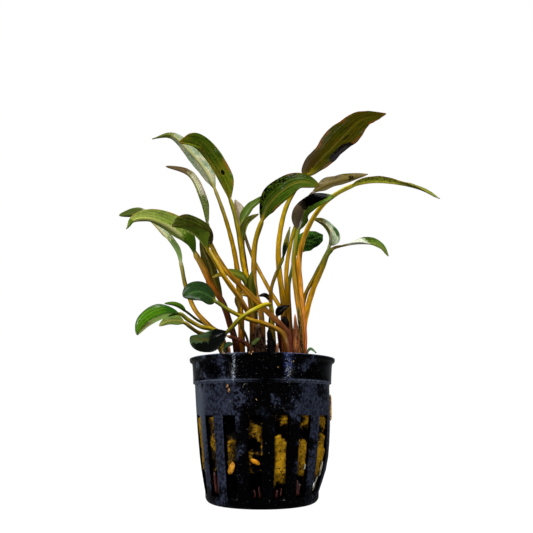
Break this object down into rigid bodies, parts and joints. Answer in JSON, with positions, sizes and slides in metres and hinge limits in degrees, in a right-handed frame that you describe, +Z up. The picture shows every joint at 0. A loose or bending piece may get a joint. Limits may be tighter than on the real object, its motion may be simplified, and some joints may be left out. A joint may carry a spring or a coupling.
{
  "type": "potted red cryptocoryne wendtii aquarium plant",
  "caption": "Cryptocoryne aquarium plant with long-stalked green, olive and red-brown leaves, rooted in mineral wool in a black slotted net pot.",
  "frame": {"origin": "centre of the pot's underside", "axes": "+Z up along the pot's axis; the plant's front faces -Y"},
  "size_m": [0.1164, 0.0664, 0.1543],
  "materials": {
    "pot_plastic": "wet gloss",
    "mineral_wool": "fibrous, damp",
    "leaf_green": "wet, veined",
    "leaf_pale": "wet, veined",
    "leaf_dark": "wet, veined",
    "leaf_olive": "wet, veined, decaying edges",
    "leaf_brown": "wet, faded",
    "leaf_black": "wet, rotted",
    "rhizome": "fibrous, wet",
    "stalk_red": "torn, wet",
    "gravel": "matt"
  },
  "bodies": {
    "root": {"pot": "pot_plastic", "rockwool": "mineral_wool", "leaf_low_front": "leaf_dark", "leaf_round_dark": "leaf_dark", "leaf_narrow_left": "leaf_brown", "leaf_dark_left": "leaf_dark", "leaf_small_curled": "leaf_green", "leaf_long_left": "leaf_green", "leaf_far_left": "leaf_pale", "leaf_dark_inner": "leaf_dark", "leaf_low_left": "leaf_green", "leaf_low_left_back": "leaf_green", "leaf_low_left_top": "leaf_dark", "leaf_tiny_hooked": "leaf_dark", "leaf_small_upright": "leaf_olive", "leaf_top_left": "leaf_olive", "leaf_top_left_back": "leaf_pale", "leaf_narrow_centre": "leaf_brown", "leaf_behind_centre": "leaf_green", "leaf_pale_centre": "leaf_brown", "leaf_arched_right": "leaf_olive", "leaf_top_right": "leaf_olive", "leaf_tan_right": "leaf_brown", "leaf_far_right": "leaf_pale", "leaf_black_right": "leaf_black", "leaf_dark_right": "leaf_dark", "leaf_drooping_right": "leaf_pale", "leaf_crumpled_right": "leaf_pale", "leaf_thin_dark": "leaf_dark", "leaf_tiny_black_a": "leaf_black", "leaf_tiny_black_b": "leaf_black", "leaf_tiny_front": "leaf_green", "leaf_tiny_left": "leaf_green", "leaf_rim_loop": "leaf_dark", "rhizome_centre": "rhizome", "rhizome_middle": "rhizome", "rhizome_left": "rhizome", "stub_rotted": "rhizome", "stub_cut": "stalk_red", "stub_orange_left": "stalk_red", "stub_orange_right": "stalk_red", "sheath_red": "stalk_red", "stem_dark": "rhizome", "grain_ochre": "gravel", "chip_orange": "gravel"}
  },
  "joints": []
}
